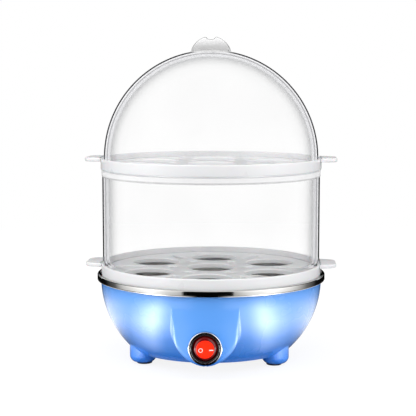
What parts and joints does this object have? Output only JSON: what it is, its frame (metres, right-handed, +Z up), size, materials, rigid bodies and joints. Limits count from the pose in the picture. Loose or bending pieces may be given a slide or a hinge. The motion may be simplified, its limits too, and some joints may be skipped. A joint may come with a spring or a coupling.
{
  "type": "egg cooker",
  "caption": "Two-tier electric egg cooker: round heated base with a rocker switch, seat trays, clear steam ring and clear domed lid.",
  "frame": {"origin": "on the worktop, under the centre of the round base", "axes": "+Z up, the switch faces -Y, the tray ears point along +X and -X"},
  "size_m": [0.18, 0.164, 0.23],
  "materials": {
    "shell_blue": "moulded gloss",
    "foot_rubber": "matt",
    "zinc_steel": "bright zinc plated",
    "black_plastic": "moulded satin",
    "ivory_plastic": "moulded satin",
    "brass": "bright",
    "dish_steel": "mirror polished pressing",
    "silicone": "matt",
    "aluminium": "mill finish",
    "ceramic_brown": "fired, matt",
    "mica": "pressed sheet",
    "fuse_case": "lacquered",
    "chrome_trim": "polished",
    "sleeve_nylon": "moulded",
    "lamp_glass": "glowing",
    "rocker_red": "translucent gloss, lit",
    "wire_brown": "cable jacket",
    "wire_white": "silicone braid",
    "wire_blue": "cable jacket",
    "wire_green": "cable jacket",
    "tray_white": "moulded satin gloss",
    "clear_plastic": "clear, polished mould"
  },
  "bodies": {
    "base": {"base_shell": "shell_blue", "bottom_cover": "shell_blue", "cover_screws": "zinc_steel", "foot_front_left": "shell_blue", "foot_front_right": "shell_blue", "foot_rear": "shell_blue", "foot_pads": "foot_rubber", "foot_screws": "zinc_steel", "cord_gland": "black_plastic", "gland_nut": "black_plastic", "terminal_block": "ivory_plastic", "block_clamps": "brass", "block_screw": "zinc_steel", "heating_dish": "dish_steel", "dish_gasket": "silicone", "dish_studs": "zinc_steel", "dish_washers": "zinc_steel", "dish_nuts": "zinc_steel", "heater_core": "ceramic_brown", "heater_case": "aluminium", "heater_insulation": "mica", "heater_clamp": "zinc_steel", "clamp_nuts": "zinc_steel", "earth_tag": "brass", "thermostat_cap": "aluminium", "thermostat_body": "ceramic_brown", "thermostat_bracket": "zinc_steel", "thermostat_screws": "zinc_steel", "thermostat_tabs": "brass", "thermostat_connectors": "sleeve_nylon", "thermal_fuse": "fuse_case", "fuse_sleeve": "silicone", "switch_body": "black_plastic", "switch_bezel": "chrome_trim", "switch_terminals": "brass", "switch_connectors": "sleeve_nylon", "switch_lamp": "lamp_glass", "live_wire": "wire_brown", "switched_wire": "wire_brown", "heater_wire": "wire_white", "fuse_wire": "wire_white", "neutral_wire": "wire_blue", "lamp_wire": "wire_blue", "earth_wire": "wire_green"},
    "rocker": {"rocker": "rocker_red", "rocker_plunger": "brass", "rocker_spring": "zinc_steel"},
    "contact_blade": {"contact_blade": "brass"},
    "lower_tray": {"lower_tray": "tray_white"},
    "steam_ring": {"steam_ring": "clear_plastic"},
    "upper_tray": {"upper_tray": "tray_white"},
    "lid": {"lid": "clear_plastic"}
  },
  "joints": [
    {"name": "rocker_tilt", "type": "hinge", "parent": "base", "child": "rocker", "pos_m": [0, -0.0756, 0.0224], "axis": [0, 0, 1], "range_deg": [-14, 0]},
    {"name": "contact_tilt", "type": "hinge", "parent": "base", "child": "contact_blade", "pos_m": [0, -0.0675, 0.0224], "axis": [0, 0, 1], "range_deg": [0, 12]},
    {"name": "lower_tray_lift", "type": "slide", "parent": "base", "child": "lower_tray", "axis": [0, 0, 1], "range_m": [0, 0.06]},
    {"name": "ring_lift", "type": "slide", "parent": "lower_tray", "child": "steam_ring", "axis": [0, 0, 1], "range_m": [0, 0.08]},
    {"name": "upper_tray_lift", "type": "slide", "parent": "steam_ring", "child": "upper_tray", "axis": [0, 0, 1], "range_m": [0, 0.06]},
    {"name": "lid_lift", "type": "slide", "parent": "upper_tray", "child": "lid", "axis": [0, 0, 1], "range_m": [0, 0.1]}
  ],
  "couplings": [
    {"joint": "contact_tilt", "follows": "rocker_tilt", "ratio": -0.85714}
  ]
}
